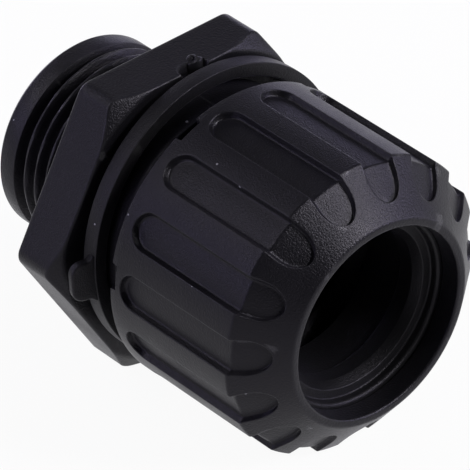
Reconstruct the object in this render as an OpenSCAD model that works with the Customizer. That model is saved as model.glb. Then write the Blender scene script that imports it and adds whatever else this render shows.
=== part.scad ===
// Liquidtight conduit connector, lying on one flat of its hex.
// X is the connector's axis and points out of the conduit mouth. Z is up.
// The origin is on the axis, at the hex face that seats on the panel.
// Angles around the axis are measured from +Z towards -Y.

/* [Entry] */
// Diameter over the crests of the entry thread
entry_d = 19.8; // [18:0.1:22]
// Length of the entry from the hex to its end
entry_len = 11.7; // [9:0.1:15]
// Chamfer on the end of the entry
entry_chamfer = 0.5; // [0.2:0.1:1]
// Length of the plain band that leads the entry in
entry_band = 2.5; // [1.5:0.1:3.5]
// Pitch of the entry thread
entry_pitch = 1.5; // [1.2:0.1:2]
// Root depth of the entry thread
entry_thread_depth = 0.95; // [0.5:0.05:1.1]
// Width of the relief groove next to the hex, and at each end of the spigot's thread
relief_w = 1.1; // [0.6:0.1:2]
// Depth of the undercut that keeps the seat clear of the thread's relief
seat_recess = 0.3; // [0.2:0.05:0.5]
// Diameter of the way for the wires through the entry
wire_d = 13.2; // [9:0.1:14]
// Countersink at the outer end of the wire way
wire_chamfer = 0.6; // [0.2:0.1:1]

/* [Hex] */
// How far the nut's side stands out past the hex's flats
hex_step = 0.1; // [0:0.05:0.5]
// Thickness of the hex
hex_len = 5.2; // [4:0.1:8]
// How far the rounded-off corners stand out past the flats
hex_corner_rise = 2.1; // [1.4:0.1:2.2]
// The same where the corner chamfers meet the panel-side face
hex_back_rise = 1.8; // [0.4:0.1:2]
// Length of the corner chamfers on the panel side
hex_back_chamfer = 0.3; // [0.1:0.1:1]
// The same where the corner chamfers meet the nut-side face
hex_front_rise = 0.7; // [0.2:0.1:1.6]
// Length of the corner chamfers on the nut side
hex_front_chamfer = 1; // [0.4:0.1:2]
// Width of the gate recess in the edge of the top flat
gate_w = 3.3; // [2:0.1:5]
// Length of the gate recess along the axis
gate_len = 1.3; // [0.8:0.1:2]
// Depth of the gate recess below the flat
gate_depth = 0.7; // [0.4:0.1:1.2]
// Diameter of the gate stub that is left in the recess
gate_stub_d = 1.4; // [0.8:0.1:2]
// Angle of the gate recess from the top
gate_angle = -2; // [-10:1:10]

/* [Spigot] */
// Diameter over the spigot's thread crests
spigot_d = 25; // [24.4:0.1:25.4]
// Length of the spigot from the hex to its nose
spigot_len = 12.9; // [12.4:0.1:14]
// Root depth of the spigot's thread
spigot_thread_depth = 0.8; // [0.5:0.1:0.9]
// Pitch of the spigot's thread
spigot_pitch = 1.5; // [1.2:0.1:2]
// Length of the plain land that carries the shoulder seal
land_len = 3.7; // [3.6:0.1:4.2]
// Height of that land over the thread crests
land_step = 0.3; // [0.1:0.05:0.4]
// Chamfer on the outside of the nose
nose_chamfer = 0.8; // [0.4:0.1:1.2]
// Diameter of the socket that holds the ferrule and the conduit's end
socket_d = 18.8; // [18:0.1:19.4]
// Depth of the socket from the nose
socket_depth = 11.2; // [10:0.1:12]
// Axial length of the cone that widens the socket at the nose
seat_cone_len = 1.6; // [1:0.1:2]
// Radial width of that cone
seat_cone_w = 1.2; // [0.8:0.1:1.5]

/* [Ferrule] */
// Outside diameter of the ferrule's barrel, which goes into the conduit
barrel_d = 11.8; // [11.4:0.1:12.4]
// Wall of the barrel, round the way for the wires
barrel_wall = 0.7; // [0.5:0.05:1.2]
// Length of the barrel past the flange
barrel_len = 6.6; // [5:0.1:8]
// Thickness of the flange
flange_t = 1.3; // [1:0.1:2]
// Length of the skirt past the flange
skirt_len = 2.6; // [1.5:0.1:3.5]
// Wall of the skirt
skirt_t = 0.9; // [0.6:0.1:1.2]
// Number of barbs on the barrel
barb_count = 3; // [2:1:4]
// Height of a barb
barb_h = 0.25; // [0.1:0.05:0.4]
// Length of a barb
barb_len = 1.4; // [1:0.1:1.6]
// Plain length of the barrel between the flange and the first barb
barb_start = 0.8; // [0.4:0.1:1.2]
// Length of the lead-in at the barrel's tip
tip_len = 0.5; // [0.3:0.1:0.8]
// Depth of that lead-in
tip_drop = 0.3; // [0.1:0.1:0.4]
// Chamfer on the inner edge of the barrel's tip
tip_chamfer = 0.2; // [0.1:0.05:0.3]

/* [Shoulder seal] */
// Radial thickness of the seal ring
seal_t = 1.45; // [1.2:0.05:1.6]
// Width of the seal ring along the axis
seal_w = 1.7; // [1.4:0.1:2.2]
// Radius of the seal ring's edges
seal_edge_r = 0.35; // [0.2:0.05:0.5]
// Sideways shift of the loose ring
seal_shift = 0.55; // [0.4:0.05:0.6]
// Angle of that shift from the top
seal_shift_angle = -35; // [-60:1:0]
// Tilt of the loose ring, in degrees
seal_tilt = 1.5; // [0.5:0.1:2]
// Distance from the hex to the nearest point of the tilted ring
seal_gap = 0.6; // [0.2:0.05:0.8]
// Play of the ring on its land past the shift
seal_play = 0.12; // [0.1:0.01:0.2]
// Reach of the ring's lug past its rim
lug_reach = 2.25; // [1.5:0.05:3]
// Width of the lug around the ring
lug_w = 4.1; // [3:0.1:5]
// Thickness of the lug along the axis
lug_t = 0.9; // [0.7:0.05:1.3]
// Lean of the lug towards the hex, in degrees
lug_lean = 15; // [0:1:20]
// Radius of the lug's rounded corners
lug_corner_r = 1.2; // [0.5:0.1:1.4]
// Angle of the lug from the top
lug_angle = 91; // [75:1:100]

/* [Nut] */
// Wall of the nut over its bore
nut_wall = 2.55; // [2.4:0.05:2.9]
// Length of the nut
nut_len = 19.8; // [18.5:0.1:21]
// Gap between the hex and the nut as it stands
nut_gap = 5.45; // [5.2:0.05:6.5]
// Radius of the nut's back edge
nut_edge_r = 0.55; // [0.3:0.05:0.8]
// How far the nut can be screwed in from where it stands
nut_tighten = 2; // [1:0.1:2.1]
// Axial length of the cone on the front of the nut
cone_len = 3.8; // [3:0.1:4.4]
// Radius between the side and the cone
shoulder_r = 0.9; // [0.4:0.1:1.2]
// Diameter of the mouth
mouth_d = 19.3; // [18.8:0.1:20]
// Width of the rim between the mouth and the cone
rim_w = 0.8; // [0.6:0.1:1.4]
// Radius between the cone and the rim
rim_r = 0.5; // [0.3:0.1:0.8]
// Length of the mouth's wall
mouth_len = 2.2; // [1.6:0.1:2.6]
// Radius on the inner edge of the mouth
mouth_edge_r = 0.3; // [0.2:0.05:0.5]
// Chamfer at the entry of the nut's thread
nut_entry_chamfer = 0.9; // [0.4:0.1:1]
// Depth of the grooves of the nut's thread
nut_thread_depth = 0.55; // [0.3:0.05:0.6]
// Number of turns of thread in the nut
nut_turns = 4; // [3:1:4]
// Plain length between the entry chamfer and the first turn
nut_thread_start = 0.4; // [0.2:0.1:0.8]

/* [Grip recesses] */
// Number of recesses around the nut
slot_count = 15; // [12:1:15]
// Angle of the first recess from the top
slot_phase = 11.2; // [0:0.1:24]
// Width of a recess
slot_w = 3.8; // [3:0.1:4]
// Depth of a recess
slot_depth = 0.65; // [0.4:0.05:0.8]
// Distance from the nut's back to a recess
slot_back = 1.9; // [1.4:0.1:2.6]
// Distance from a recess to the mouth end of the nut
slot_front = 1.1; // [0.8:0.1:1.6]
// Number of notches in the nut's back rim
notch_count = 6; // [3:1:8]
// Angle of the first notch from the top
notch_phase = 21; // [0:1:60]
// Width of a notch
notch_w = 2.5; // [1.5:0.1:3]
// Length of a notch along the axis
notch_len = 0.7; // [0.4:0.1:0.9]
// Wall left between a notch and the entry of the nut's thread
notch_wall = 0.45; // [0.3:0.05:0.8]

/* [Grip ring] */
// Diameter of the hole that the conduit passes
grip_d = 15.5; // [15:0.1:15.8]
// Length of the straight land of that hole
grip_land = 1.5; // [1:0.1:2]
// Diameter of the step in front of the hole
step_d = 16.5; // [16.2:0.1:17]
// Depth of the step behind the lip
step_depth = 0.9; // [0.6:0.1:1.2]
// Length of the cone from the step to the hole
step_len = 1; // [0.6:0.1:1.2]
// Inside diameter of the ring's lip
lip_d = 18.4; // [17.8:0.1:18.6]
// Length of the grip ring
grip_len = 8.2; // [7.6:0.1:8.6]
// Wall of the grip ring's tail
tail_wall = 1.3; // [1:0.1:1.6]
// Length of the taper on the grip ring's tail
tail_len = 2.6; // [2:0.1:3]
// Number of grip ribs behind the hole
rib_count = 2; // [1:1:3]
// Height of a grip rib
rib_h = 0.35; // [0.2:0.05:0.5]
// Length of a grip rib
rib_len = 0.9; // [0.6:0.1:1]
// Spacing of the grip ribs
rib_pitch = 1.7; // [1.4:0.1:1.8]
// Radial wall of the grip ring behind the lip
grip_wall = 1.7; // [1.4:0.1:1.9]
// Radius on the inner edge of the lip
lip_edge_r = 0.4; // [0.2:0.05:0.5]
// Lead-in behind the land of the hole
land_chamfer = 0.4; // [0.2:0.1:0.6]

/* [Clearances] */
// Radial play between the spigot's crests and the nut
thread_play = 0.15; // [0.12:0.01:0.2]
// Play between the grip ring and the nut
ring_play = 0.15; // [0.1:0.01:0.25]
// Radial play of the ferrule in its socket
ferrule_play = 0.08; // [0.05:0.01:0.15]
// Radial play of a panel's hole that the seat leaves around the entry thread
seat_play = 0.3; // [0.2:0.05:0.5]
// Gap between the spigot's nose and the nut's inner cone when the nut is screwed in
nose_gap = 0.25; // [0.15:0.05:0.5]

/* [Hidden] */
// Each curve is this fine where it is drawn as a mesh
$fn = 96;
// Steps in a rounded edge
edge_steps = 6;
// Overshoot of a cut past the face that it opens
cut_over = 1;
// Overlap that fuses a piece of one moulding to the next
fuse = 0.2;
// Where a thread ridge rises, crests, falls and ends, as fractions of the pitch
ridge = [0.05, 0.42, 0.58, 0.95];
// The same for the grooves in the nut
groove = [0, 0.4, 0.5, 0.9];
// Where a grip rib's crest starts and ends, as fractions of its length
rib_crest = [0.3, 0.7];
// Shape of the gate stub and its recess: end radius, offset, height and taper, as fractions
gate_round = 0.9;
stub_offset = 1 / 8;
stub_height = 0.75;
stub_taper = 0.6;
plastic = [0.13, 0.13, 0.145];
insert_plastic = [0.2, 0.2, 0.22];
elastomer = [0.17, 0.17, 0.17];

// Places along the axis
nose_x = hex_len + spigot_len;
socket_x = nose_x - socket_depth;
nut_x0 = hex_len + nut_gap;
nut_x1 = nut_x0 + nut_len;
cone_x = nut_x1 - cone_len;
mouth_x = nut_x1 - mouth_len;
grip_x1 = mouth_x - ring_play;
grip_x0 = grip_x1 - grip_len;
step_x = grip_x1 - step_depth;
hole_x = step_x - step_len;

// Radii
entry_r = entry_d / 2;
seat_r = entry_r + seat_play;
crest_r = spigot_d / 2;
root_r = crest_r - spigot_thread_depth;
nose_r = root_r - nose_chamfer;
land_r = crest_r + land_step;
seal_r0 = land_r + seal_shift + seal_play;
seal_r1 = seal_r0 + seal_t;
// The middle of the tilted ring stands this far off the hex
seal_lift = seal_r1 * sin(seal_tilt) + seal_gap;
nut_bore_r = crest_r + thread_play;
nut_r = nut_bore_r + nut_wall;
flat_r = nut_r - hex_step;
mouth_r = mouth_d / 2;
cone_drop = nut_r - mouth_r - rim_w;
notch_r = nut_bore_r + nut_entry_chamfer + notch_wall;
grip_r1 = lip_d / 2 + grip_wall;
pocket_r = grip_r1 + ring_play;
// The pocket ends in a cone that runs beside the nose's chamfer when the nut is screwed in
pocket_x0 = nose_x + nut_tighten + nose_gap - (pocket_r - nose_r);
tail_r = grip_d / 2 + rib_h + tail_wall;
ferrule_r1 = socket_d / 2 - ferrule_play;

// A thread drawn as rings: one raised or sunk turn per pitch, between two radii
function rings(x0, pitch, turns, low_r, high_r, shape) =
    [for (i = [0:turns - 1]) each [
        [x0 + (i + shape[0]) * pitch, low_r],
        [x0 + (i + shape[1]) * pitch, high_r],
        [x0 + (i + shape[2]) * pitch, high_r],
        [x0 + (i + shape[3]) * pitch, low_r]
    ]];

// Points of an arc in the plane of a profile
function arc(cx, cy, r, a0, a1, n = edge_steps) =
    [for (i = [0:n]) let (a = a0 + (a1 - a0) * i / n) [cx + r * cos(a), cy + r * sin(a)]];

// Turns a profile of [place along the axis, radius] points around the connector's axis
module turned(points) {
    rotate([0, 90, 0])
        rotate_extrude()
            polygon([for (p = points) [p[1], p[0]]]);
}

// Puts a part that stands on the XY plane onto the axis at an angle from the top
module at_angle(angle) {
    rotate([angle, 0, 0]) children();
}

// The hex with its corners cut back by a cone on each side, and the seat's undercut
module hex_head() {
    intersection() {
        rotate([0, 90, 0]) rotate(30) cylinder(h = hex_len, r = flat_r / cos(30), $fn = 6);
        turned([
            [seat_recess, 0], [seat_recess, seat_r], [0, seat_r],
            [0, flat_r + hex_back_rise],
            [hex_back_chamfer, flat_r + hex_corner_rise],
            [hex_len - hex_front_chamfer, flat_r + hex_corner_rise],
            [hex_len, flat_r + hex_front_rise], [hex_len, 0]
        ]);
    }
}

// Entry and spigot, turned as one solid with the hex between them
module body_core() {
    entry_root_r = entry_r - entry_thread_depth;
    entry_turns = floor((entry_len - entry_band - relief_w) / entry_pitch);
    band_x = entry_band - entry_len;
    land_x = hex_len + land_len;
    spigot_x = land_x + relief_w;
    spigot_turns = floor((nose_x - nose_chamfer - relief_w - spigot_x) / spigot_pitch);
    turned(concat(
        [
            [-entry_len, 0], [-entry_len, entry_r - entry_chamfer],
            [entry_chamfer - entry_len, entry_r],
            [band_x, entry_r], [band_x + (ridge[1] - ridge[0]) * entry_pitch, entry_root_r]
        ],
        rings(-relief_w - entry_turns * entry_pitch, entry_pitch, entry_turns,
              entry_root_r, entry_r, ridge),
        [
            [seat_recess + fuse, entry_root_r], [seat_recess + fuse, land_r],
            [land_x, land_r], [land_x, root_r]
        ],
        rings(spigot_x, spigot_pitch, spigot_turns, root_r, crest_r, ridge),
        [[nose_x - nose_chamfer, root_r], [nose_x, nose_r], [nose_x, 0]]
    ));
}

// The way for the wires, the ferrule's socket and the cone at the nose
module body_bore() {
    wire_r = wire_d / 2;
    socket_r = socket_d / 2;
    turned([
        [-entry_len - cut_over, 0], [-entry_len - cut_over, wire_r + wire_chamfer],
        [-entry_len, wire_r + wire_chamfer], [-entry_len + wire_chamfer, wire_r],
        [socket_x, wire_r], [socket_x, socket_r],
        [nose_x - seat_cone_len, socket_r],
        [nose_x, socket_r + seat_cone_w], [nose_x + cut_over, socket_r + seat_cone_w],
        [nose_x + cut_over, 0]
    ]);
}

// The recess that the mould's gate leaves in the edge of the top flat
module gate_recess() {
    r = min(gate_len, gate_w / 2) * gate_round;
    at_angle(gate_angle)
        translate([hex_len, 0, flat_r - gate_depth])
            linear_extrude(height = gate_depth + cut_over)
                polygon(concat(
                    [[cut_over, gate_w / 2]],
                    arc(r - gate_len, gate_w / 2 - r, r, 90, 180),
                    arc(r - gate_len, r - gate_w / 2, r, 180, 270),
                    [[cut_over, -gate_w / 2]]
                ));
}

module gate_stub() {
    at_angle(gate_angle)
        translate([hex_len - gate_stub_d / 2 - fuse, -gate_w * stub_offset,
                   flat_r - gate_depth - fuse])
            cylinder(h = gate_depth * stub_height + fuse,
                     d1 = gate_stub_d, d2 = gate_stub_d * stub_taper);
}

module body() {
    color(plastic)
        difference() {
            union() {
                difference() {
                    union() {
                        body_core();
                        hex_head();
                    }
                    gate_recess();
                }
                gate_stub();
            }
            body_bore();
        }
}

// Insert for the conduit's end: flange, skirt and a barbed barrel
module ferrule() {
    barrel_r = barrel_d / 2;
    bore_r = barrel_r - barrel_wall;
    flange_x = socket_x + flange_t;
    barrel_x = flange_x + barrel_len;
    barb_x = flange_x + barb_start;
    color(insert_plastic)
        turned(concat(
            [
                [socket_x, bore_r], [socket_x, ferrule_r1],
                [flange_x + skirt_len, ferrule_r1],
                [flange_x + skirt_len, ferrule_r1 - skirt_t],
                [flange_x, ferrule_r1 - skirt_t], [flange_x, barrel_r]
            ],
            [for (i = [0:barb_count - 1]) each [
                [barb_x + i * barb_len, barrel_r],
                [barb_x + i * barb_len, barrel_r + barb_h],
                [barb_x + (i + 1) * barb_len, barrel_r]
            ]],
            [
                [barrel_x - tip_len, barrel_r], [barrel_x, barrel_r - tip_drop],
                [barrel_x, bore_r + tip_chamfer], [barrel_x - tip_chamfer, bore_r]
            ]
        ));
}

module seal_ring() {
    e = seal_edge_r;
    turned(concat(
        arc(e, seal_r0 + e, e, 270, 180), arc(e, seal_r1 - e, e, 180, 90),
        arc(seal_w - e, seal_r1 - e, e, 90, 0), arc(seal_w - e, seal_r0 + e, e, 360, 270)
    ));
}

// The lug that stands out from the ring's nut-side face and leans back over the hex
module seal_lug() {
    root_u = (seal_r0 + seal_r1) / 2;
    corner_u = seal_r1 + lug_reach - lug_corner_r - root_u;
    corner_v = lug_w / 2 - lug_corner_r;
    at_angle(lug_angle - seal_shift_angle)
        translate([seal_w, 0, root_u])
            rotate([0, 90 - lug_lean, 0])
                translate([0, 0, -lug_t])
                    linear_extrude(height = lug_t)
                        polygon(concat(
                            [[0, -lug_w / 2]],
                            arc(-corner_u, -corner_v, lug_corner_r, 270, 180),
                            arc(-corner_u, corner_v, lug_corner_r, 180, 90),
                            [[0, lug_w / 2]]
                        ));
}

// The loose seal ring between the hex and the nut, a little off the axis and tilted
module shoulder_seal() {
    color(elastomer)
        at_angle(seal_shift_angle)
            translate([hex_len + seal_lift, 0, seal_shift])
                rotate([0, -seal_tilt, 0])
                    union() {
                        seal_ring();
                        seal_lug();
                    }
}

// The stepped ring in the nut's mouth, with ribs that grip the conduit
module grip_ring() {
    hole_r = grip_d / 2;
    waist_r = hole_r + rib_h;
    land_x = hole_x - grip_land;
    lip_r = lip_d / 2;
    e = lip_edge_r;
    color(elastomer)
        turned(concat(
            [[step_x, step_d / 2], [step_x, lip_r]],
            arc(grip_x1 - e, lip_r + e, e, 270, 360),
            [
                [grip_x1, grip_r1], [grip_x0 + tail_len, grip_r1],
                [grip_x0, tail_r], [grip_x0, waist_r]
            ],
            [for (i = [rib_count:-1:1]) let (x = land_x - i * rib_pitch) each [
                [x, waist_r],
                [x + rib_len * rib_crest[0], hole_r],
                [x + rib_len * rib_crest[1], hole_r],
                [x + rib_len, waist_r]
            ]],
            [[land_x - land_chamfer, waist_r], [land_x, hole_r], [hole_x, hole_r]]
        ));
}

// Outline of the nut, drawn in by a distance
module nut_blank(inset = 0) {
    r = nut_r - inset;
    e = nut_edge_r;
    cone_a = atan2(cone_drop, cone_len);
    shoulder_run = shoulder_r * tan(cone_a / 2);
    rim_run = rim_r * tan((90 - cone_a) / 2);
    turned(concat(
        [[nut_x0, 0]],
        arc(nut_x0 + e, r - e, e, 180, 90),
        arc(cone_x - shoulder_run, r - shoulder_r, shoulder_r, 90, 90 - cone_a),
        arc(nut_x1 - rim_r, r - cone_drop - rim_run, rim_r, 90 - cone_a, 0),
        [[nut_x1, 0]]
    ));
}

// Inside of the nut: thread, pocket for the grip ring, and the mouth
module nut_bore() {
    r = nut_bore_r;
    c = nut_entry_chamfer;
    e = mouth_edge_r;
    turned(concat(
        [[nut_x0 - cut_over, 0], [nut_x0 - cut_over, r + c], [nut_x0, r + c], [nut_x0 + c, r]],
        rings(nut_x0 + c + nut_thread_start, spigot_pitch, nut_turns, r, r + nut_thread_depth, groove),
        [
            [pocket_x0 - (r - pocket_r), r], [pocket_x0, pocket_r],
            [mouth_x, pocket_r], [mouth_x, mouth_r]
        ],
        arc(nut_x1 - e, mouth_r + e, e, 270, 360),
        [[nut_x1 + cut_over, mouth_r + e], [nut_x1 + cut_over, 0]]
    ));
}

// Stadium-shaped cutters around the nut, with the recess floor left standing
module grip_recesses() {
    x0 = nut_x0 + slot_back;
    x1 = nut_x1 - slot_front;
    end_r = slot_w / 2;
    difference() {
        for (i = [0:slot_count - 1])
            at_angle(slot_phase + 360 / slot_count * i)
                linear_extrude(height = nut_r + cut_over)
                    union() {
                        translate([x0 + end_r, -end_r]) square([x1 - x0 - slot_w, slot_w]);
                        translate([x0 + end_r, 0]) circle(r = end_r);
                        translate([x1 - end_r, 0]) circle(r = end_r);
                    }
        nut_blank(slot_depth);
    }
}

// Square notches in the nut's back rim
module rim_notches() {
    for (i = [0:notch_count - 1])
        at_angle(notch_phase + 360 / notch_count * i)
            translate([nut_x0 - cut_over, -notch_w / 2, notch_r])
                cube([notch_len + cut_over, notch_w, nut_r - notch_r + cut_over]);
}

module compression_nut() {
    color(plastic)
        difference() {
            nut_blank();
            grip_recesses();
            rim_notches();
            nut_bore();
        }
}

body();
ferrule();
shoulder_seal();
grip_ring();
compression_nut();
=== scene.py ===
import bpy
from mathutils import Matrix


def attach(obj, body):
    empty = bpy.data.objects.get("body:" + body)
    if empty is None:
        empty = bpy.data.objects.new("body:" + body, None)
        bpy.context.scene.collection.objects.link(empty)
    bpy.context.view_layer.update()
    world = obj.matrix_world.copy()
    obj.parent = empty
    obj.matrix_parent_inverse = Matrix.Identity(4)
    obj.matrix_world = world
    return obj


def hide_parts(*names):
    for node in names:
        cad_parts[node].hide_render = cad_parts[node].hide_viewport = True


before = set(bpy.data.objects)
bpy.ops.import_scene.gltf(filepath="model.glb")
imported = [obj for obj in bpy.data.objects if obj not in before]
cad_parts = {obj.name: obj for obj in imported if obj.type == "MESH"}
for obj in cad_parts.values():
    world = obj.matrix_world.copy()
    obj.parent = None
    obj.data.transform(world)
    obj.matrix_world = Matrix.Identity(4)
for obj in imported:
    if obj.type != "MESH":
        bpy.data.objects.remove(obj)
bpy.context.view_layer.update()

import math

import bmesh
import bpy
import numpy as np
from bpy.props import FloatProperty, FloatVectorProperty, IntProperty, PointerProperty
from mathutils import Matrix, Vector

bl_info = {
    "name": "Liquidtight conduit connector",
    "version": (1, 0, 0),
    "blender": (4, 5, 0),
    "location": "View3D > Sidebar > Connector",
    "description": "Builds the skins and finishes of a liquidtight conduit connector",
    "category": "Object",
}

MM = 0.001
TURN = 2 * math.pi


# Sizes and colours

def size(name, note, default):
    """A length in millimetres that a user may change."""
    return FloatProperty(name=name, description=note, default=default, min=0.0, precision=2)


class ConnectorSizes(bpy.types.PropertyGroup):
    """Sizes of the connector's skins, in millimetres and degrees"""
    pitch: size("Pitch", "Pitch of both threads, mm", 1.5)
    band_d: size("Lead-in diameter", "Diameter of the plain band at the end of the entry, mm", 20.1)
    band_len: size("Lead-in length", "Length of the plain band, mm", 2.5)
    entry_crest_d: size("Entry crest", "Diameter over the entry thread's crests, mm", 19.9)
    entry_root_d: size("Entry root", "Diameter at the entry thread's roots, mm", 18.1)
    hex_corner_r: size("Corner radius", "Radius of the hex's corners, mm", 1.5)
    edge_r: size("Edge radius", "Radius of the moulded edges, mm", 0.22)
    recess_wall: size("Recess wall", "Width of a grip recess's wall, mm", 0.3)
    recess_count: IntProperty(name="Recesses", description="Number of grip recesses", default=15, min=3)
    sectors: IntProperty(name="Ring steps", description="Steps around each ring", default=288, min=48)


def colour(name, note, default):
    """A colour that a user may change."""
    return FloatVectorProperty(name=name, description=note, subtype="COLOR", size=3, min=0, max=1,
                               default=default)


class ConnectorColours(bpy.types.PropertyGroup):
    """Colours and finishes of the connector"""
    polyamide: colour("Polyamide", "Colour of the black mouldings", (0.0040, 0.0038, 0.0048))
    insert: colour("Insert", "Colour of the ferrule", (0.008, 0.008, 0.0087))
    rubber: colour("Rubber", "Colour of the two rings", (0.0040, 0.0039, 0.0042))
    floor: colour("Floor", "Colour of the floor", (0.86, 0.86, 0.86))
    grain: FloatProperty(name="Grain", description="Strength of the moulded grain", default=1.0, min=0,
                         max=2)
    dust: FloatProperty(name="Dust", description="Amount of light dust", default=0.12, min=0, max=1)


# Shapes

def on_axis(x, r, a):
    """Points, in metres, from a place along the axis, a radius and an angle from the top to the near side."""
    x, r, a = np.broadcast_arrays(x, r, a)
    return np.stack([x, -r * np.sin(a), r * np.cos(a)], -1) * MM


def eased(corners, steps=4, closed=False):
    """Rounds the corners of a profile of (along, radius, fillet) points."""
    out = []
    last = len(corners) - 1
    for i, (x, y, fillet) in enumerate(corners):
        p = np.array([x, y], float)
        if fillet <= 0 or (not closed and i in (0, last)):
            out.append(p)
            continue
        a = np.array(corners[i - 1][:2], float) - p
        b = np.array(corners[(i + 1) % len(corners)][:2], float) - p
        la, lb = np.linalg.norm(a), np.linalg.norm(b)
        a, b = a / la, b / lb
        half = math.acos(float(np.clip(a @ b, -1, 1))) / 2
        if half > 1.54:
            out.append(p)
            continue
        cut = min(fillet / math.tan(half), 0.48 * la, 0.48 * lb)
        rad = cut * math.tan(half)
        mid = p + (a + b) / np.linalg.norm(a + b) * rad / math.sin(half)
        s, e = p + a * cut - mid, p + b * cut - mid
        start = math.atan2(s[1], s[0])
        sweep = (math.atan2(e[1], e[0]) - start + math.pi) % TURN - math.pi
        for t in np.linspace(0, 1, steps + 1):
            out.append(mid + rad * np.array([math.cos(start + sweep * t), math.sin(start + sweep * t)]))
    return np.array(out)


class Skin:
    """Collects the points and faces of one closed skin."""

    def __init__(self, move=None):
        self.points, self.faces, self.count, self.move = [], [], 0, move

    def add(self, points):
        points = np.asarray(points, float)
        if self.move is not None:
            points = points @ np.array(self.move.to_3x3()).T + np.array(self.move.translation)
        ids = np.arange(self.count, self.count + points.size // 3).reshape(points.shape[:-1])
        self.points.append(points.reshape(-1, 3))
        self.count += ids.size
        return ids

    def quads(self, a, b, c, d):
        self.faces.append(np.stack([a, b, c, d], -1).reshape(-1, 4))

    def band(self, a, b, closed=True):
        """Quads between two rows of points."""
        if closed:
            self.quads(a, b, np.roll(b, -1), np.roll(a, -1))
        else:
            self.quads(a[:-1], b[:-1], b[1:], a[1:])

    def rows(self, grid, loop=False):
        """Quads over a grid of point numbers: rows along the profile, columns round the axis."""
        for a, b in zip(grid[:-1], grid[1:]):
            self.band(a, b)
        if loop:
            self.band(grid[-1], grid[0])

    def piece(self, name, sharp=38.0):
        """The skin as an object, with its near points joined and its edges sharp past an angle."""
        mesh = bpy.data.meshes.new(name)
        faces = [tuple(f) if f[2] != f[3] else tuple(f[:3]) for f in np.concatenate(self.faces).tolist()]
        mesh.from_pydata(np.concatenate(self.points).tolist(), [], faces)
        bm = bmesh.new()
        bm.from_mesh(mesh)
        bmesh.ops.remove_doubles(bm, verts=bm.verts, dist=2e-7)
        bmesh.ops.recalc_face_normals(bm, faces=bm.faces)
        bm.to_mesh(mesh)
        bm.free()
        mesh.validate()
        for p in mesh.polygons:
            p.use_smooth = True
        mesh.set_sharp_from_angle(angle=math.radians(sharp))
        obj = bpy.data.objects.new(name, mesh)
        bpy.context.scene.collection.objects.link(obj)
        return obj


def turned(corners, steps, count, move=None):
    """A ring or sleeve: a closed profile turned round the axis."""
    profile = eased(corners, steps, closed=True)
    a = np.arange(count) * TURN / count
    skin = Skin(move)
    skin.rows(skin.add(on_axis(profile[:, 0, None], profile[:, 1, None], a[None, :])), loop=True)
    return skin


def helix_radius(x, a, crest, root, pitch, crest_w=0.14, root_w=0.2):
    """Radius of a right-hand thread: flat crests, flat roots and straight flanks."""
    t = np.abs((x / pitch - a / TURN) % 1 - 0.5) * 2
    down = np.clip((t - crest_w) / (1 - crest_w - root_w), 0, 1)
    down = down - 0.10 * np.sin(TURN * down) / TURN
    return crest - (crest - root) * down


def hex_radius(a, apothem, corner_r):
    """Radius of a hexagon with rounded corners and a flat on top."""
    d = np.abs((a + math.radians(30)) % math.radians(60) - math.radians(30))
    flat = apothem / np.cos(d)
    mid = (apothem - corner_r) / math.cos(math.radians(30))
    off = math.radians(30) - d
    arc = mid * np.cos(off) + np.sqrt(np.maximum(corner_r ** 2 - (mid * np.sin(off)) ** 2, 0))
    return np.where(apothem * np.tan(d) > (apothem - corner_r) * math.tan(math.radians(30)), arc, flat)


def soft_min(a, b, width):
    """The smaller of two radii, with the crease between them rounded."""
    h = np.clip(0.5 + 0.5 * (b - a) / width, 0, 1)
    return b + (a - b) * h - width * h * (1 - h) * 0.5


def smooth_step(lo, hi, v):
    """From 0 at one value to 1 at the other, with soft ends."""
    t = np.clip((v - lo) / (hi - lo), 0, 1)
    return t * t * (3 - 2 * t)


# The connector's measured places, mm

ENTRY_END, ENTRY_MOUTH_R = -11.7, 7.4
RELIEF_R = 8.95
SEAT_R, SEAT_RECESS = 10.2, 0.3
HEX_AF, HEX_LEN = 30.2, 5.2
HEX_FRONT_R, HEX_SLOPE = 15.75, 1.35
LAND_R, LAND_END = 12.8, 8.9
CREST_R, ROOT_R = 12.5, 11.7
NOSE_X = 18.1
SOCKET_R, SOCKET_X, WIRE_R = 9.4, 6.9, 6.6
GATE_ANGLE, GATE_W, GATE_LEN, GATE_DEPTH, GATE_R = math.radians(-2), 3.3, 1.3, 1.2, 1.1
# The gate's stub: how far behind the hex's front face and to the far side, and its rings as (height, radius)
STUB_BACK, STUB_Y = 1.2, 1.45
STUB_RINGS = ((0, 0.82), (0.5, 0.78), (1.1, 0.74), (1.3, 0.66), (1.42, 0.48), (1.47, 0.26), (1.48, 0.06))
SEAL_R0, SEAL_R1, SEAL_W = 13.47, 14.92, 1.7
SEAL_X, SEAL_SHIFT, SEAL_ANGLE, SEAL_TILT = 6.19, 0.55, math.radians(-35), math.radians(1.5)
LUG_ROOT, LUG_TIP, LUG_W, LUG_T, LUG_CORNER = 14.195, 17.17, 4.1, 0.9, 1.2
LUG_ANGLE, LUG_LEAN = math.radians(91), math.radians(15)
NUT_X0, NUT_X1, NUT_R = 10.65, 30.45, 15.02
CONE_X, CONE_END_R = 26.65, 10.45
MOUTH_R, MOUTH_X = 9.65, 28.25
NUT_BORE_R, POCKET_R, POCKET_X0 = 12.65, 11.05, 20.2
RECESS_PHASE, RECESS_W, RECESS_DEPTH = math.radians(11.2), 3.8, 0.65
RECESS_X0, RECESS_X1 = NUT_X0 + 1.25, NUT_X1 - 1.1
NOTCH_ANGLES = [math.radians(21 + 60 * i) for i in range(6)]
NOTCH_W, NOTCH_LEN, BACK_R = 2.5, 0.7, 13.62
GRIP_X0, GRIP_X1, GRIP_R = 19.9, 28.1, 10.9
LIP_R, STEP_R, HOLE_R, TAIL_R = 9.2, 8.25, 7.75, 8.1
FERRULE_X1 = 14.8
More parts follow.
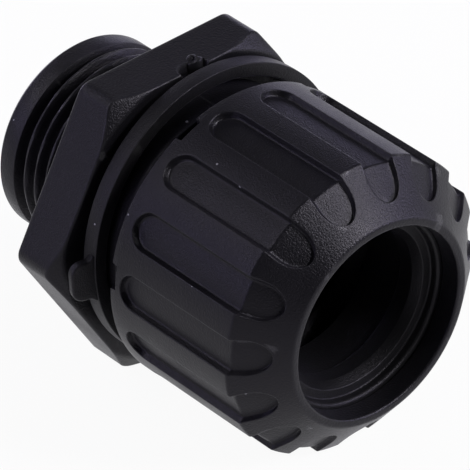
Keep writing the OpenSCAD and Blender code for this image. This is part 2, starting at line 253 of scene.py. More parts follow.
FLANGE_R, SKIRT_R, BARREL_R, BARREL_BORE_R = 9.32, 8.42, 5.9, 5.2


# Body

def body_columns():
    """Angles round the body, closer together at the hex's corners and at the gate."""
    angles = list(np.arange(0, 360, 1.0))
    for corner in range(30, 390, 60):
        angles += list(np.arange(corner - 5, corner + 5.01, 0.5))
    gate = math.degrees(GATE_ANGLE)
    angles += list(np.arange(gate - 8, gate + 8.01, 0.4))
    angles = np.unique(np.round(np.mod(angles, 360), 3))
    keep = np.concatenate([[True], np.diff(angles) > 0.15])
    return np.radians(angles[keep])


def hex_outline(x, a, inset, corner_r):
    """Radius of the hex at a place along the axis, drawn in by a distance."""
    tangential = HEX_AF / 2 * np.tan(np.arctan2(np.sin(a - GATE_ANGLE), np.cos(a - GATE_ANGLE)))
    side = np.maximum(np.abs(tangential) - (GATE_W / 2 - GATE_R), 0)
    away = np.hypot(side, np.maximum(HEX_LEN - GATE_LEN + GATE_R - x, 0)) - GATE_R
    gate = np.where(np.cos(a) > 0.9, 1 - smooth_step(-0.28, 0.02, away), 0)
    r = hex_radius(a, HEX_AF / 2 - inset, corner_r)
    r = r - gate * GATE_DEPTH / np.maximum(np.cos(a), 0.5)
    cone = HEX_FRONT_R + (HEX_LEN - x) * HEX_SLOPE - inset
    return soft_min(r, cone, 0.3)


def body_rows(s, a):
    """The body's skin, row by row, from the entry's end round to the bore."""
    rows = []
    e = s.edge_r
    band_end = ENTRY_END + s.band_len

    def ring(profile):
        for x, r in profile:
            rows.append((x + 0 * a, r + 0 * a))

    ring(eased([(ENTRY_END, ENTRY_MOUTH_R, 0), (ENTRY_END, s.band_d / 2 - 0.35, 0.2),
                (ENTRY_END + 0.4, s.band_d / 2, 0.2), (band_end - 0.2, s.band_d / 2, 0)], 4))
    root = s.entry_root_d / 2
    for x in np.arange(band_end - 0.16, -1.75, s.pitch / 12):
        thread = helix_radius(x, a, s.entry_crest_d / 2, root, s.pitch)
        lead = s.band_d / 2 - (s.band_d / 2 - root) * smooth_step(band_end - 0.2, band_end + 0.25, x)
        grow = smooth_step(band_end + 0.25, band_end + 0.9, x)
        r = np.maximum(lead, root + (thread - root) * grow)
        rows.append((x + 0 * a, RELIEF_R + (r - RELIEF_R) * smooth_step(-1.75, -2.3, x)))
    ring(eased([(-1.7, RELIEF_R, 0), (SEAT_RECESS, RELIEF_R, 0.15), (SEAT_RECESS, SEAT_R, 0.12),
                (0, SEAT_R, 0.1), (0, SEAT_R + 0.4, 0)], 3))
    first = hex_outline(0, a, e, s.hex_corner_r)
    for t in (0.35, 0.7, 0.97):
        rows.append((0 * a, SEAT_R + 0.4 + (first - SEAT_R - 0.4) * t))
    for t in np.linspace(0, 1, 5):
        d = e * (1 - math.sin(t * math.pi / 2))
        x = e * (1 - math.cos(t * math.pi / 2))
        rows.append((x + 0 * a, hex_outline(x, a, d, s.hex_corner_r)))
    for x in list(np.linspace(0.6, 3.4, 6)) + list(np.arange(3.55, HEX_LEN - e, 0.12)):
        rows.append((x + 0 * a, hex_outline(x, a, 0, s.hex_corner_r)))
    for t in np.linspace(0, 1, 5):
        d = e * (1 - math.cos(t * math.pi / 2))
        x = HEX_LEN - e + e * math.sin(t * math.pi / 2)
        rows.append((x + 0 * a, hex_outline(x, a, d, s.hex_corner_r)))
    last = hex_outline(HEX_LEN, a, e, s.hex_corner_r)
    for t in (0.1, 0.3, 0.6, 0.9):
        rows.append((HEX_LEN + 0 * a, last + (LAND_R + 0.3 - last) * t))
    ring(eased([(HEX_LEN, LAND_R + 0.3, 0), (HEX_LEN, LAND_R, 0.25), (LAND_END, LAND_R, 0.15),
                (LAND_END, ROOT_R, 0.15), (LAND_END + 0.5, ROOT_R, 0)], 3))
    thread_end = NOSE_X - 1.9
    for x in np.arange(LAND_END + 0.6, thread_end + 0.4, s.pitch / 10):
        thread = helix_radius(x, a, CREST_R, ROOT_R, s.pitch)
        starts = smooth_step(LAND_END + 0.6, LAND_END + 1.3, x)
        ends = smooth_step(thread_end + 0.3, thread_end - 0.4, x)
        rows.append((x + 0 * a, ROOT_R + (thread - ROOT_R) * (starts * ends)))
    ring(eased([(thread_end + 0.5, ROOT_R, 0), (NOSE_X - 0.8, ROOT_R, 0.2), (NOSE_X, ROOT_R - 0.8, 0.12),
                (NOSE_X, SOCKET_R + 1.2, 0.12), (NOSE_X - 1.6, SOCKET_R, 0.2), (SOCKET_X, SOCKET_R, 0.15),
                (SOCKET_X, WIRE_R, 0.15), (ENTRY_END + 0.8, WIRE_R, 0.2),
                (ENTRY_END, ENTRY_MOUTH_R, 0)], 4)[:-1])
    return rows


def spread(skin, loop, xy, place, columns):
    """Fills a closed loop with a grid that joins each point to its mirror point."""
    half = len(loop) // 2
    right, left = np.arange(half), len(loop) - 1 - np.arange(half)
    lines = [loop[right]]
    for k in range(1, columns):
        t = k / columns
        lines.append(skin.add(place(xy[right] * (1 - t) + xy[left] * t)))
    lines.append(loop[left])
    for a, b in zip(lines[:-1], lines[1:]):
        skin.band(a, b, closed=False)


def gate_stub(skin):
    """The torn stub that the gate leaves, low and uneven."""
    n = 28
    t = np.arange(n) * TURN / n
    base = HEX_AF / 2 - GATE_DEPTH - 0.1
    rough = 1 + 0.06 * np.sin(3 * t + 0.7) + 0.03 * np.sin(5 * t + 2.1)
    rings = []
    for h, r in STUB_RINGS:
        x = HEX_LEN - STUB_BACK + r * rough * np.cos(t)
        y = STUB_Y + r * rough * 1.15 * np.sin(t)
        z = base + h * (1 + 0.12 * np.sin(2 * t + 1.0)) + 0 * t
        rings.append(skin.add(np.stack([x, y, z], -1) * MM))
    for a, b in zip(rings[:-1], rings[1:]):
        skin.band(a, b)
    near, far = np.arange(n // 2), n - 1 - np.arange(n // 2)
    for ring in (rings[0], rings[-1]):
        skin.quads(ring[near[:-1]], ring[near[1:]], ring[far[1:]], ring[far[:-1]])


def make_body(s):
    a = body_columns()
    rows = body_rows(s, a)
    skin = Skin()
    grid = skin.add(np.stack([on_axis(x, r, a) for x, r in rows]))
    skin.rows(grid, loop=True)
    gate_stub(skin)
    return skin.piece("body_skin", 32.0)


# Nut

def nut_profile():
    """The nut's outside, from its back edge to its mouth."""
    return eased([(NUT_X0 + 0.6, NUT_R, 0), (CONE_X, NUT_R, 0.4),
                  (NUT_X1 + 0.1, CONE_END_R - 0.13, 0)], 10)


def recess_loop(inset):
    """Outline of a grip recess: one half from back to front, then its mirror. Points are (x, across)."""
    r = RECESS_W / 2 - inset
    x0, x1 = RECESS_X0 + RECESS_W / 2, RECESS_X1 - RECESS_W / 2
    turns = 12
    step = math.pi / 2 / turns
    arc = [(r * math.cos((k + 0.5) * step), r * math.sin((k + 0.5) * step)) for k in range(turns)]
    half = [(x0 - along, across) for along, across in arc]
    half += [(x, r) for x in straight_places()]
    half += [(x1 + along, across) for along, across in reversed(arc)]
    half = np.array(half)
    return np.concatenate([half, half[::-1] * [1, -1]])


def straight_places():
    """Places along a recess's straight sides, closer together where the nut's side meets its cone."""
    x0, x1 = RECESS_X0 + RECESS_W / 2, RECESS_X1 - RECESS_W / 2
    bend = np.linspace(CONE_X - 0.3, CONE_X + 0.28, 10)
    return np.concatenate([np.linspace(x0, CONE_X - 0.7, 12), bend, np.linspace(bend[-1] + 0.15, x1, 3)])


def cell_border(x_back, x_front, half_angle):
    """Where each point of a recess's outline meets the border of its cell. Points are (x, angle)."""
    turns, edge = 12, 9
    xs = straight_places()
    half = []
    for k in range(turns):
        if k < edge:
            half.append((x_back, half_angle * (k + 0.5) / (edge + 0.5)))
        else:
            half.append((x_back + (xs[0] - x_back) * (k - edge) / (turns - edge), half_angle))
    half += [(x, half_angle) for x in xs]
    for k in reversed(range(turns)):
        if k < edge:
            half.append((x_front, half_angle * (k + 0.5) / (edge + 0.5)))
        else:
            half.append((x_front - (x_front - xs[-1]) * (k - edge) / (turns - edge), half_angle))
    half = np.array(half)
    return np.concatenate([half, half[::-1] * [1, -1]])


def cell_columns(n, phase):
    """Angles of the columns that the cells of the grip recesses share."""
    return phase + (np.arange(n * 19) + 0.5 - 9.5) * TURN / (n * 19)


def notch_snap(a):
    """Moves the columns nearest to each notch's edges onto them."""
    a = a.copy()
    half = NOTCH_W / 2 / (NUT_R - 0.4)
    for n in NOTCH_ANGLES:
        for edge, side in ((n - half, -1), (n + half, 1)):
            gap = np.abs(np.angle(np.exp(1j * (a - edge))))
            first, second = np.argsort(gap)[:2]
            order = np.angle(np.exp(1j * (a[first] - a[second])))
            lo, hi = (second, first) if order > 0 else (first, second)
            a[lo], a[hi] = edge - 0.0035, edge + 0.0035
    return a


def make_nut(s):
    profile = nut_profile()

    def skin_r(x):
        return np.interp(x, profile[:, 0], profile[:, 1])

    n = s.recess_count
    half_angle = math.pi / n
    x_back, x_front = NUT_X0 + 0.78, NUT_X1 - 0.62
    wall = s.recess_wall
    depths = [(0.03, 0.01), (0.06, 0.035), (0.085, 0.08), (0.10, 0.14), (0.10 + wall * 0.3, 0.40),
              (0.10 + wall * 0.42, 0.50), (0.10 + wall * 0.6, 0.585), (0.10 + wall * 0.85, 0.632),
              (0.10 + wall * 1.25, RECESS_DEPTH)]
    outline = recess_loop(0)
    border = cell_border(x_back, x_front, half_angle)
    front = cell_columns(n, RECESS_PHASE)
    back = notch_snap(front)
    skin = Skin()
    for i in range(n):
        mid = RECESS_PHASE + TURN / n * i
        own = np.arcsin(outline[:, 1] / skin_r(outline[:, 0]))
        rings = []
        for t in (1.0, 0.7, 0.42, 0.2, 0.07, 0.0):
            x = outline[:, 0] * (1 - t) + border[:, 0] * t
            a = own * (1 - t) + border[:, 1] * t
            if t > 0:
                away = np.angle(np.exp(1j * (mid + border[:, 1, None] - front)))
                near = np.argmin(np.abs(away), axis=1)
                shift = np.where(np.abs(border[:, 0] - x_back) < 1e-6, (back - front)[near], 0)
                a = a + shift * t
            rings.append(skin.add(on_axis(x, skin_r(x), mid + a)))
        for inset, depth in depths:
            loop = recess_loop(inset)
            r = skin_r(loop[:, 0])
            rings.append(skin.add(on_axis(loop[:, 0], r - depth, mid + np.arcsin(loop[:, 1] / r))))
        for a, b in zip(rings[:-1], rings[1:]):
            skin.band(a, b)

        def on_floor(p, mid=mid):
            r = skin_r(p[:, 0])
            return on_axis(p[:, 0], r - RECESS_DEPTH, mid + np.arcsin(p[:, 1] / r))

        spread(skin, rings[-1], recess_loop(depths[-1][0]), on_floor, 8)
    in_notch = np.zeros(len(back), bool)
    for notch in NOTCH_ANGLES:
        in_notch |= np.abs(np.angle(np.exp(1j * (back - notch)))) < NOTCH_W / 2 / (NUT_R - 0.4)
    floor_r, wall_x = BACK_R + 0.08, NUT_X0 + NOTCH_LEN
    plain = eased([(x_back, NUT_R, 0), (NUT_X0, NUT_R, 0.15), (NUT_X0, 14.2, 0),
                   (NUT_X0, BACK_R, 0)], 6)
    cut = np.array([(x_back, NUT_R), (wall_x + 0.04, NUT_R), (wall_x, NUT_R - 0.05), (wall_x, NUT_R - 0.5),
                    (wall_x, floor_r + 0.05), (wall_x - 0.05, floor_r), (NUT_X0 + 0.2, floor_r),
                    (NUT_X0 + 0.06, floor_r), (NUT_X0, floor_r - 0.04), (NUT_X0, BACK_R)])
    rows = []
    for (px, pr), (cx, cr) in zip(plain, cut):
        rows.append((np.where(in_notch, cx, px), np.where(in_notch, cr, pr)))
    rim = eased([(x_front, skin_r(x_front), 0), (NUT_X1, CONE_END_R, 0.55), (NUT_X1, MOUTH_R, 0.25),
                 (MOUTH_X, MOUTH_R, 0.12), (MOUTH_X, POCKET_R, 0.2), (POCKET_X0, POCKET_R, 0.3),
                 (POCKET_X0 - 1.6, NUT_BORE_R, 0.2), (17.6, NUT_BORE_R, 0)], 5)
    inner = [(x + 0 * front, r + 0 * front) for x, r in rim]
    for x in np.arange(17.6 - s.pitch / 10, NUT_X0 + 1.0, -s.pitch / 10):
        groove = NUT_BORE_R + 0.55 - (helix_radius(x + s.pitch / 2, front, 0.55, 0, s.pitch, 0.3, 0.2))
        mask = smooth_step(17.6, 17.0, x) * smooth_step(NUT_X0 + 1.0, NUT_X0 + 1.6, x)
        inner.append((x + 0 * front, NUT_BORE_R + (groove - NUT_BORE_R) * mask))
    tail = eased([(NUT_X0 + 0.95, NUT_BORE_R, 0), (NUT_X0, BACK_R - 0.07, 0.1),
                  (NUT_X0, BACK_R, 0)], 4)[:-1]
    grid_a = skin.add(np.stack([on_axis(x, r, back) for x, r in rows]))
    grid_b = skin.add(np.stack([on_axis(x, r, front) for x, r in inner]
                               + [on_axis(x, r, back) for x, r in tail]))
    skin.rows(grid_a)
    skin.rows(grid_b)
    skin.band(grid_a[-1], grid_b[-1])
    return skin.piece("compression_nut_skin", 40.0)


# Rings and ferrule

def lug_outline(inset):
    """Outline of the seal's lug as (out, across): one half from its root to its tip, then its mirror."""
    corner = LUG_CORNER - inset
    w, tip = LUG_W / 2 - inset, LUG_TIP - LUG_ROOT - inset
    half = [(0, (w + 0.45) * k / 4) for k in (1, 2, 3)]
    for u in np.linspace(0, tip - corner, 14):
        half.append((u, w + 0.45 * max(0, 1 - max(u - 0.7, 0) / 0.7) ** 2))
    half += [(tip - corner + corner * math.sin(t), w - corner + corner * math.cos(t))
             for t in np.linspace(0, math.pi / 2, 9)[1:]]
    half += [(tip, (w - corner) * k) for k in (0.66, 0.33)]
    half = np.array(half)
    return np.concatenate([half, half[::-1] * [1, -1]])


def add_lug(skin, edge):
    """The lug that stands out from the seal ring and leans back over the hex."""
    a = LUG_ANGLE - SEAL_ANGLE

    def place(uv, depth):
        x = SEAL_W - uv[:, 0] * math.sin(LUG_LEAN) - depth * math.cos(LUG_LEAN)
        r = LUG_ROOT + uv[:, 0] * math.cos(LUG_LEAN) - depth * math.sin(LUG_LEAN)
        y, z = -(r * math.sin(a) + uv[:, 1] * math.cos(a)), r * math.cos(a) - uv[:, 1] * math.sin(a)
        return np.stack([x, y, z], -1) * MM

    turns = np.linspace(0, math.pi / 2, 6)
    steps = [(edge * (1 - math.sin(t)), edge * (1 - math.cos(t))) for t in turns]
    steps += [(edge * (1 - math.cos(t)), LUG_T - edge * (1 - math.sin(t))) for t in turns]
    loops = [skin.add(place(lug_outline(inset), depth)) for inset, depth in steps]
    for one, two in zip(loops[:-1], loops[1:]):
        skin.band(one, two)
    for loop, depth in ((loops[0], 0), (loops[-1], LUG_T)):
        spread(skin, loop, lug_outline(edge), lambda p, d=depth: place(p, d), 8)


def make_seal(s):
    move = (Matrix.Rotation(SEAL_ANGLE, 4, "X") @ Matrix.Translation((SEAL_X * MM, 0, SEAL_SHIFT * MM))
            @ Matrix.Rotation(-SEAL_TILT, 4, "Y"))
    w, r0, r1 = SEAL_W, SEAL_R0, SEAL_R1
    skin = turned([(0, r0, 0.3), (0, r1, 0.14), (w * 0.45, r1 + 0.02, 0), (w * 0.55, r1 + 0.02, 0),
                   (w, r1, 0.1), (w, r0, 0.3)], 6, s.sectors, move)
    add_lug(skin, 0.22)
    return skin.piece("shoulder_seal_skin")


def make_grip(s):
    x1 = GRIP_X1
    corners = [
        (x1 - 0.9, STEP_R, 0.12), (x1 - 0.9, LIP_R, 0.2), (x1, LIP_R, 0.35), (x1, GRIP_R, 0.3),
        (GRIP_X0 + 2.6, GRIP_R, 0.4), (GRIP_X0, 9.4, 0.3), (GRIP_X0, TAIL_R, 0.2),
        (24.3, TAIL_R, 0.1), (24.7, HOLE_R, 0.15), (26.2, HOLE_R, 0.25),
    ]
    return turned(corners, 4, s.sectors).piece("grip_ring_skin")


def make_ferrule(s):
    e = 0.15
    skirt_x = SOCKET_X + 3.9
    corners = [(SOCKET_X, BARREL_BORE_R, 0.25), (SOCKET_X, FLANGE_R, e), (skirt_x, FLANGE_R, e),
               (skirt_x, SKIRT_R, e), (SOCKET_X + 1.3, SKIRT_R, 0.3), (SOCKET_X + 1.3, BARREL_R, 0.3)]
    for k in range(3):
        x = SOCKET_X + 2.1 + 1.4 * k
        corners += [(x - 0.02, BARREL_R, 0.03), (x, BARREL_R + 0.25, 0.06), (x + 1.36, BARREL_R, 0.05)]
    corners += [(FERRULE_X1 - 0.5, BARREL_R, 0.1), (FERRULE_X1, 5.6, 0.12), (FERRULE_X1, 5.4, 0.12),
                (FERRULE_X1 - 0.2, BARREL_BORE_R, 0.1)]
    return turned(corners, 3, s.sectors).piece("ferrule_skin")


# Finishes

def node(tree, kind, **values):
    n = tree.nodes.new(kind)
    for key, value in values.items():
        setattr(n, key, value)
    return n


def wire(tree, *pairs):
    for out, into in pairs:
        tree.links.new(out, into)


def math_node(tree, operation, a, b=None, clamp=False):
    n = node(tree, "ShaderNodeMath", operation=operation, use_clamp=clamp)
    for i, v in enumerate((a, b)):
        if v is None:
            continue
        if isinstance(v, (int, float)):
            n.inputs[i].default_value = v
        else:
            tree.links.new(v, n.inputs[i])
    return n.outputs[0]


def group(name, inputs, outputs):
    """An empty shader group with named sockets."""
    g = bpy.data.node_groups.new(name, "ShaderNodeTree")
    for label, kind, default in inputs:
        sock = g.interface.new_socket(name=label, in_out="INPUT", socket_type=kind)
        if default is not None:
            sock.default_value = default
    for label, kind in outputs:
        g.interface.new_socket(name=label, in_out="OUTPUT", socket_type=kind)
    return g, g.nodes.new("NodeGroupInput"), g.nodes.new("NodeGroupOutput")


def grain_group():
    """Fine sandblast grain of a moulded surface, with broader mottling."""
    g, i, o = group("grain_group", [("Scale", "NodeSocketFloat", 1.0), ("Amount", "NodeSocketFloat", 1.0)],
                    [("Height", "NodeSocketFloat"), ("Mottle", "NodeSocketFloat")])
    at = node(g, "ShaderNodeTexCoord")
    fine = node(g, "ShaderNodeTexNoise")
    fine.inputs["Detail"].default_value = 2.0
    fine.inputs["Roughness"].default_value = 0.6
    broad = node(g, "ShaderNodeTexNoise")
    broad.inputs["Scale"].default_value = 170.0
    broad.inputs["Detail"].default_value = 4.0
    wire(g, (at.outputs["Object"], fine.inputs["Vector"]), (at.outputs["Object"], broad.inputs["Vector"]),
         (math_node(g, "MULTIPLY", i.outputs["Scale"], 5600.0), fine.inputs["Scale"]))
    height = math_node(g, "SUBTRACT", fine.outputs["Fac"], 0.5)
    height = math_node(g, "MULTIPLY", height, i.outputs["Amount"])
    wire(g, (height, o.inputs["Height"]), (broad.outputs["Fac"], o.inputs["Mottle"]))
    return g


def edge_highlight_group():
    """Where convex edges get a painted highlight: a lighter colour in uneven patches, and a lower roughness.
    """
    g, i, o = group("edge_highlight_group", [("Amount", "NodeSocketFloat", 1.0)], [("Mask", "NodeSocketFloat")])
    geo = node(g, "ShaderNodeNewGeometry")
    at = node(g, "ShaderNodeTexCoord")
    patches = node(g, "ShaderNodeTexNoise")
    patches.inputs["Scale"].default_value = 420.0
    patches.inputs["Detail"].default_value = 3.0
    wire(g, (at.outputs["Object"], patches.inputs["Vector"]))
    edge = node(g, "ShaderNodeMapRange")
    edge.inputs["From Min"].default_value = 0.505
    edge.inputs["From Max"].default_value = 0.60
    wire(g, (geo.outputs["Pointiness"], edge.inputs["Value"]))
    rough = node(g, "ShaderNodeMapRange")
    rough.inputs["From Min"].default_value = 0.35
    rough.inputs["From Max"].default_value = 0.65
    rough.inputs["To Min"].default_value = 0.35
    wire(g, (patches.outputs["Fac"], rough.inputs["Value"]))
    mask = math_node(g, "MULTIPLY", edge.outputs[0], rough.outputs[0])
    wire(g, (math_node(g, "MULTIPLY", mask, i.outputs["Amount"], True), o.inputs["Mask"]))
    return g


def dust_group():
    """Sparse pale specks of dust and lint."""
    g, i, o = group("dust_group", [("Scale", "NodeSocketFloat", 1.0), ("Amount", "NodeSocketFloat", 0.3)],
                    [("Mask", "NodeSocketFloat")])
    at = node(g, "ShaderNodeTexCoord")
    cells = node(g, "ShaderNodeTexVoronoi", feature="F1")
    wire(g, (at.outputs["Object"], cells.inputs["Vector"]),
         (math_node(g, "MULTIPLY", i.outputs["Scale"], 1100.0), cells.inputs["Scale"]))
    dot = math_node(g, "LESS_THAN", cells.outputs["Distance"], 0.13)
    pick = node(g, "ShaderNodeSeparateColor")
    wire(g, (cells.outputs["Color"], pick.inputs[0]))
    few = math_node(g, "LESS_THAN", pick.outputs[0], math_node(g, "MULTIPLY", i.outputs["Amount"], 0.12))
    wire(g, (math_node(g, "MULTIPLY", dot, few), o.inputs["Mask"]))
    return g


def shared(make):
    """A shader group by its maker, which gives it its own name; made once."""
    return bpy.data.node_groups.get(make.__name__) or make()


def add_group(tree, g, **values):
    n = node(tree, "ShaderNodeGroup", node_tree=g)
    for key, value in values.items():
        n.inputs[key].default_value = value
    return n


def mix_colour(tree, factor, a, b):
    n = node(tree, "ShaderNodeMix", data_type="RGBA")
    for sock, v in ((n.inputs[0], factor), (n.inputs[6], a), (n.inputs[7], b)):
        if isinstance(v, (tuple, list)):
            sock.default_value = (*v[:3], 1)
        elif isinstance(v, (int, float)):
            sock.default_value = v
        else:
            tree.links.new(v, sock)
    return n.outputs[2]


def moulded(name, groups, colour, rough, grain, bump, edge_highlight, dust, specular=0.20):
    """A moulded finish: grain, mottling, a painted highlight along the edges and dust over one colour."""
    mat = bpy.data.materials.new(name)
    mat.use_nodes = True
    t = mat.node_tree
    t.nodes.clear()
    out = node(t, "ShaderNodeOutputMaterial")
    skin = node(t, "ShaderNodeBsdfPrincipled")
    skin.inputs["Specular IOR Level"].default_value = specular
    skin.inputs["IOR"].default_value = 1.5
    skin.inputs["Specular Tint"].default_value = (0.92, 0.88, 1.0, 1)
    skin.inputs["Sheen Weight"].default_value = 0.04
    skin.inputs["Sheen Roughness"].default_value = 0.4
    skin.inputs["Sheen Tint"].default_value = (0.84, 0.80, 1.0, 1)
    g_grain = add_group(t, groups["grain"], Scale=grain, Amount=1.0)
    g_edge_highlight = add_group(t, groups["edge_highlight"], Amount=edge_highlight)
    g_dust = add_group(t, groups["dust"], Scale=1.0, Amount=dust)
    dark = tuple(c * 0.86 for c in colour)
    light = tuple(c * 1.14 for c in colour)
    base = mix_colour(t, g_grain.outputs["Mottle"], dark, light)
    # Painted highlight: patches along convex edges are lightened to stand in for the light that the edges
    # catch.
    base = mix_colour(t, g_edge_highlight.outputs["Mask"], base, tuple(min(c * 2.2 + 0.03, 1) for c in colour))
    base = mix_colour(t, g_dust.outputs["Mask"], base, (0.28, 0.28, 0.3))
    r = node(t, "ShaderNodeMapRange")
    r.inputs["From Min"].default_value = 0.3
    r.inputs["From Max"].default_value = 0.7
    r.inputs["To Min"].default_value = rough - 0.05
    r.inputs["To Max"].default_value = rough + 0.06
    b = node(t, "ShaderNodeBump")
    b.inputs["Strength"].default_value = bump
    b.inputs["Distance"].default_value = 0.0001
    wire(t, (g_grain.outputs["Mottle"], r.inputs["Value"]),
         (math_node(t, "SUBTRACT", r.outputs[0], math_node(t, "MULTIPLY", g_edge_highlight.outputs["Mask"], 0.16)),
          skin.inputs["Roughness"]),
         (base, skin.inputs["Base Color"]), (g_grain.outputs["Height"], b.inputs["Height"]),
         (b.outputs[0], skin.inputs["Normal"]), (skin.outputs[0], out.inputs[0]))
    return mat


def finish(slot):
    """The finish of a material slot, made once."""
    name = slot + "_moulded"
    if name in bpy.data.materials:
        return bpy.data.materials[name]
    c = bpy.context.scene.connector_colours
    groups = {"grain": shared(grain_group), "edge_highlight": shared(edge_highlight_group), "dust": shared(dust_group)}
    bump = 0.5 * c.grain
    if slot == "polyamide_black":
        return moulded(name, groups, tuple(c.polyamide), 0.35, 1.0, bump, 1.0, c.dust)
    if slot == "polyamide_insert":
        return moulded(name, groups, tuple(c.insert), 0.40, 1.3, bump, 0.3, 0.05)
    return moulded(name, groups, tuple(c.rubber), 0.42, 1.2, bump, 0.3, 0.12)


def dress(obj, body, slot, *nodes):
    """Gives a piece its finish and joins it to its body."""
    obj.data.materials.clear()
    obj.data.materials.append(finish(slot))
    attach(obj, body)
    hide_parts(*nodes)
    return obj


# Stage

def flat_sheet(name, corners):
    mesh = bpy.data.meshes.new(name)
    mesh.from_pydata(corners, [], [(0, 1, 2, 3)])
    obj = bpy.data.objects.new(name, mesh)
    bpy.context.scene.collection.objects.link(obj)
    return obj


def floor_finish(colour):
    """A pale floor that looks plain white to the camera and in reflections, but still takes the shadow."""
    mat = bpy.data.materials.new("pale_floor")
    mat.use_nodes = True
    t = mat.node_tree
    t.nodes.clear()
    out = node(t, "ShaderNodeOutputMaterial")
    matt = node(t, "ShaderNodeBsdfDiffuse")
    matt.inputs[0].default_value = (*colour, 1)
    glow = node(t, "ShaderNodeEmission")
    glow.inputs[0].default_value = (1, 1, 1, 1)
    glow.inputs[1].default_value = 1.0
    path = node(t, "ShaderNodeLightPath")
    seen = math_node(t, "MULTIPLY", math_node(t, "MAXIMUM", path.outputs["Is Glossy Ray"],
                                              path.outputs["Is Transmission Ray"]), 0.75)
    share = math_node(t, "MAXIMUM", math_node(t, "MULTIPLY", path.outputs["Is Camera Ray"], 0.94), seen)
    mix = node(t, "ShaderNodeMixShader")
    wire(t, (share, mix.inputs[0]), (matt.outputs[0], mix.inputs[1]),
         (glow.outputs[0], mix.inputs[2]), (mix.outputs[0], out.inputs[0]))
    return mat


def area_light(name, place, target, width, height, power, colour=(1, 1, 1)):
    data = bpy.data.lights.new(name, "AREA")
    data.shape = "RECTANGLE"
    data.size, data.size_y = width, height
    data.energy = power
    data.color = colour
    obj = bpy.data.objects.new(name, data)
    bpy.context.scene.collection.objects.link(obj)
    d = np.array(target, float) - np.array(place, float)
    obj.rotation_euler = Vector(d).to_track_quat("-Z", "Y").to_euler()
    obj.location = place
    return obj


# Square softboxes round the object: side in metres, elevation and azimuth in degrees, watts and tint
LAMP_DISTANCE, AIM = 0.5, (0.01, 0, 0)
COOL, NEUTRAL = (0.90, 0.84, 1.26), (1.0, 0.99, 1.01)
SOFTBOXES = (
    (0.22, 12, 120, 0.18, COOL), (0.22, 35, 36, 1.16, NEUTRAL), (0.22, 60, 103, 0.15, COOL),
    (0.22, 60, 206, 0.15, NEUTRAL), (0.16, 24, 150, 0.05, NEUTRAL), (0.16, 24, 240, 0.36, COOL),
    (0.16, 48, 234, 0.46, NEUTRAL), (0.22, 12, 180, 0.55, COOL), (0.22, 12, 270, 0.27, COOL),
    (0.16, 12, 50, 0.64, COOL), (0.10, 33, 22, 1.00, NEUTRAL), (0.08, 10, 160, 0.08, NEUTRAL),
)


# The white backdrop that glossy surfaces see: sines of the elevations where it is full and where it has
# faded out, and the direction that it stands in
HORIZON = (0.0, 0.10)
BEHIND = (-0.77, 0.64, 0.0)
CAMERA_PLACE, CAMERA_LENS = (0.3121, -0.2504, 0.2817), 401.7
CAMERA_RIGHT, CAMERA_UP = (0.65527, 0.75477, -0.03071), (-0.42506, 0.40202, 0.81099)
CAMERA_BACK = (0.62445, -0.51837, 0.58426)
FLOOR_Z, FLOOR_REACH = -0.0153, 1.5


def make_stage():
    c = bpy.context.scene.connector_colours
    scene = bpy.context.scene
    scene.view_settings.view_transform = "Standard"
    cam = bpy.data.cameras.new("camera")
    cam.sensor_width = 36.0
    cam.lens = CAMERA_LENS
    cam.clip_end = 10.0
    cam.shift_x, cam.shift_y = 0.0021, -0.0025
    obj = bpy.data.objects.new("camera", cam)
    scene.collection.objects.link(obj)
    m = Matrix((CAMERA_RIGHT, CAMERA_UP, CAMERA_BACK)).transposed().to_4x4()
    m.translation = CAMERA_PLACE
    obj.matrix_world = m
    scene.camera = obj
    reach = FLOOR_REACH
    floor = flat_sheet("floor", [(x, y, FLOOR_Z) for x, y in
                                 ((-reach, -reach), (reach, -reach), (reach, reach), (-reach, reach))])
    floor.data.materials.append(floor_finish(tuple(c.floor)))
    world = bpy.data.worlds.new("studio")
    scene.world = world
    world.use_nodes = True
    t = world.node_tree
    t.nodes.clear()
    out = node(t, "ShaderNodeOutputWorld")
    soft = node(t, "ShaderNodeBackground")
    soft.inputs[0].default_value = (1, 1, 1, 1)
    soft.inputs[1].default_value = 0.02
    white = node(t, "ShaderNodeBackground")
    white.inputs[1].default_value = 1.0
    at = node(t, "ShaderNodeTexCoord")
    split = node(t, "ShaderNodeSeparateXYZ")
    sweep = node(t, "ShaderNodeMapRange", interpolation_type="SMOOTHSTEP")
    sweep.inputs["From Min"].default_value = HORIZON[0]
    sweep.inputs["From Max"].default_value = HORIZON[1]
    sweep.inputs["To Min"].default_value = 1.0
    sweep.inputs["To Max"].default_value = 0.02
    facing = node(t, "ShaderNodeVectorMath", operation="DOT_PRODUCT")
    facing.inputs[1].default_value = BEHIND
    side = node(t, "ShaderNodeMapRange", interpolation_type="SMOOTHSTEP")
    side.inputs["From Min"].default_value = -0.2
    side.inputs["From Max"].default_value = 0.3
    side.inputs["To Min"].default_value = 0.02
    path = node(t, "ShaderNodeLightPath")
    seen = math_node(t, "MAXIMUM", path.outputs["Is Camera Ray"], path.outputs["Is Glossy Ray"])
    seen = math_node(t, "MAXIMUM", seen, path.outputs["Is Transmission Ray"])
    mix = node(t, "ShaderNodeMixShader")
    wire(t, (at.outputs["Generated"], split.inputs[0]), (split.outputs[2], sweep.inputs["Value"]),
         (at.outputs["Generated"], facing.inputs[0]), (facing.outputs["Value"], side.inputs["Value"]))
    backdrop = math_node(t, "MULTIPLY", sweep.outputs[0], side.outputs[0])
    wire(t, (math_node(t, "MAXIMUM", backdrop, path.outputs["Is Camera Ray"]), white.inputs[0]),
         (seen, mix.inputs[0]), (soft.outputs[0], mix.inputs[1]),
         (white.outputs[0], mix.inputs[2]), (mix.outputs[0], out.inputs[0]))
    for i, (side, up, around, power, tint) in enumerate(SOFTBOXES):
        up, around = math.radians(up), math.radians(around)
        flat = LAMP_DISTANCE * math.cos(up)
        place = (AIM[0] + flat * math.cos(around), flat * math.sin(around), LAMP_DISTANCE * math.sin(up))
        area_light("softbox_%02d" % i, place, AIM, side, side, power, tint)


# Operators

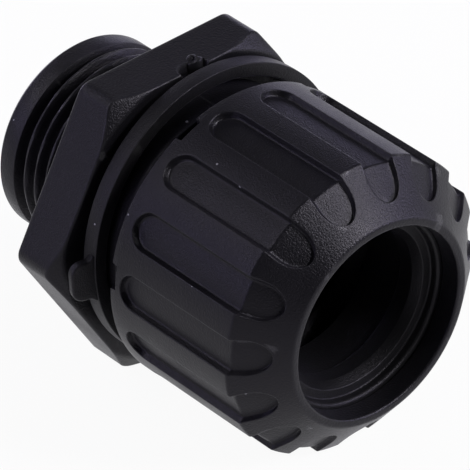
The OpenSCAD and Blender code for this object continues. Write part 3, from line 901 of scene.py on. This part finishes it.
class PieceOperator:
    bl_options = {"REGISTER", "UNDO"}

    def execute(self, context):
        self.make(context.scene.connector_sizes)
        return {"FINISHED"}


class CONNECTOR_OT_body(PieceOperator, bpy.types.Operator):
    """Makes the threaded body with its hex and gate mark"""
    bl_idname = "connector.body"
    bl_label = "Body"

    def make(self, s):
        dress(make_body(s), "fitting", "polyamide_black", "body")


class CONNECTOR_OT_nut(PieceOperator, bpy.types.Operator):
    """Makes the compression nut with its grip recesses"""
    bl_idname = "connector.nut"
    bl_label = "Compression nut"

    def make(self, s):
        dress(make_nut(s), "nut", "polyamide_black", "compression_nut")


class CONNECTOR_OT_rings(PieceOperator, bpy.types.Operator):
    """Makes the shoulder seal, the grip ring and the ferrule"""
    bl_idname = "connector.rings"
    bl_label = "Rings and ferrule"

    def make(self, s):
        dress(make_seal(s), "fitting", "rubber_grey", "shoulder_seal")
        dress(make_grip(s), "gland", "rubber_grey", "grip_ring")
        dress(make_ferrule(s), "fitting", "polyamide_insert", "ferrule")


class CONNECTOR_OT_stage(bpy.types.Operator):
    """Makes the floor, the lamps, the world and the camera"""
    bl_idname = "connector.stage"
    bl_label = "Stage"

    def execute(self, context):
        make_stage()
        return {"FINISHED"}


class CONNECTOR_PT_panel(bpy.types.Panel):
    """Lists the connector's pieces, sizes and colours"""
    bl_idname = "CONNECTOR_PT_panel"
    bl_label = "Conduit connector"
    bl_space_type = "VIEW_3D"
    bl_region_type = "UI"
    bl_category = "Connector"

    def draw(self, context):
        for name in ("stage", "body", "nut", "rings"):
            self.layout.operator("connector." + name)
        for block in (context.scene.connector_sizes, context.scene.connector_colours):
            for key in block.__annotations__:
                self.layout.prop(block, key)


CLASSES = (ConnectorSizes, ConnectorColours, CONNECTOR_OT_body, CONNECTOR_OT_nut, CONNECTOR_OT_rings,
           CONNECTOR_OT_stage, CONNECTOR_PT_panel)


def register():
    for c in CLASSES:
        bpy.utils.register_class(c)
    bpy.types.Scene.connector_sizes = PointerProperty(type=ConnectorSizes)
    bpy.types.Scene.connector_colours = PointerProperty(type=ConnectorColours)


def unregister():
    del bpy.types.Scene.connector_sizes
    del bpy.types.Scene.connector_colours
    for c in reversed(CLASSES):
        bpy.utils.unregister_class(c)


def main():
    register()
    bpy.ops.connector.stage()
    bpy.ops.connector.body()
    bpy.ops.connector.nut()
    bpy.ops.connector.rings()


if __name__ == "__main__":
    main()
